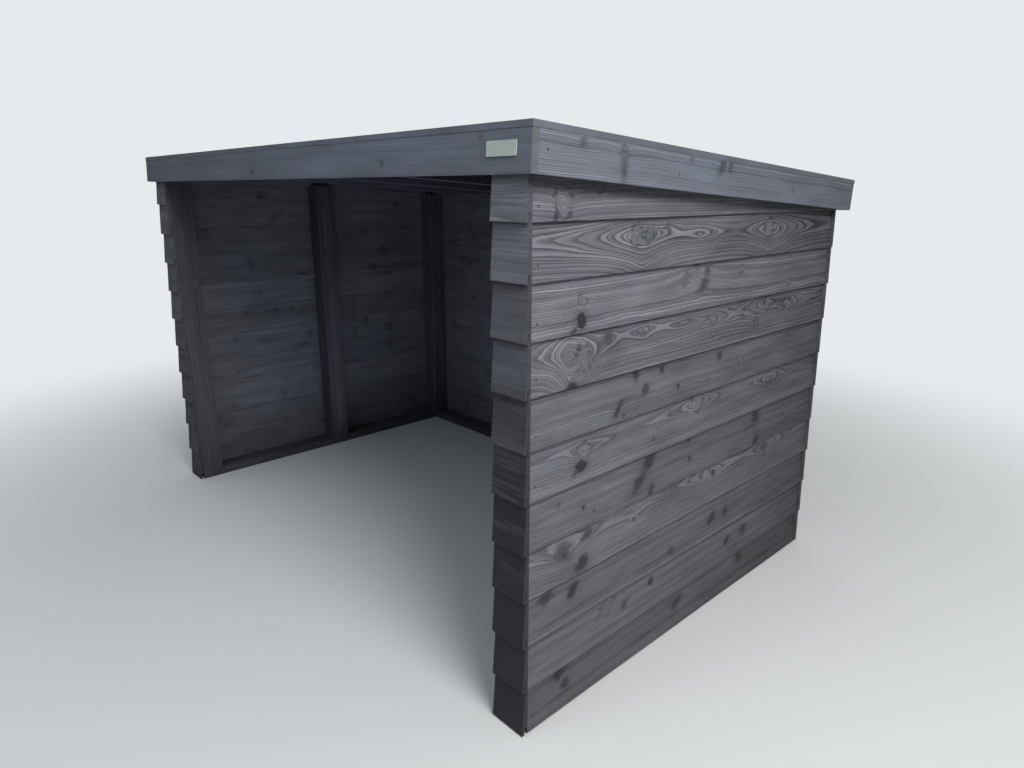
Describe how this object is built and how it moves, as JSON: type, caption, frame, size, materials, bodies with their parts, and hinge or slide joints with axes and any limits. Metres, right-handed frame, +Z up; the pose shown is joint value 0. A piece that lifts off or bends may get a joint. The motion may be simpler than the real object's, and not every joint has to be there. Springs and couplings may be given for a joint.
{
  "type": "open-fronted timber bike shelter",
  "caption": "Open-fronted timber bike shelter: posts, lapped bevelled boards on three sides, shallow single-pitch roof with deep edge boards.",
  "frame": {"origin": "on the ground, under the middle of the roof's outline", "axes": "+X along the front, to the right as seen from the open front; +Y from the front to the back; +Z up"},
  "size_m": [3.1584, 2.0758, 1.946],
  "materials": {
    "frame_timber": "matt black stain on planed softwood",
    "cladding_board": "matt black stain, weathered to grey, grain showing",
    "fascia_board": "matt black stain, weathered to grey",
    "deck_sheet": "dark stained board",
    "roof_membrane": "matt black sheet",
    "edge_trim": "satin dark grey coating",
    "plate": "satin, bare"
  },
  "bodies": {
    "root": {"post_front_left": "frame_timber", "post_front_right": "frame_timber", "post_mid_left": "frame_timber", "post_mid_right": "frame_timber", "post_back_left": "frame_timber", "post_back_right": "frame_timber", "post_rear_1": "frame_timber", "post_rear_2": "frame_timber", "sole_left": "frame_timber", "sole_right": "frame_timber", "sole_back": "frame_timber", "beam_front": "frame_timber", "beam_back": "frame_timber", "beam_left": "frame_timber", "beam_right": "frame_timber", "rafter_1": "frame_timber", "rafter_2": "frame_timber", "rafter_3": "frame_timber", "rafter_4": "frame_timber", "cladding_left": "cladding_board", "cladding_right": "cladding_board", "cladding_back": "cladding_board", "cladding_return_left": "cladding_board", "cladding_return_right": "cladding_board", "fascia_front": "fascia_board", "fascia_back": "fascia_board", "fascia_left": "fascia_board", "fascia_right": "fascia_board", "roof_deck": "deck_sheet", "roof_membrane": "roof_membrane", "edge_trim_front": "edge_trim", "edge_trim_back": "edge_trim", "edge_trim_left": "edge_trim", "edge_trim_right": "edge_trim", "front_plate": "plate"}
  },
  "joints": []
}
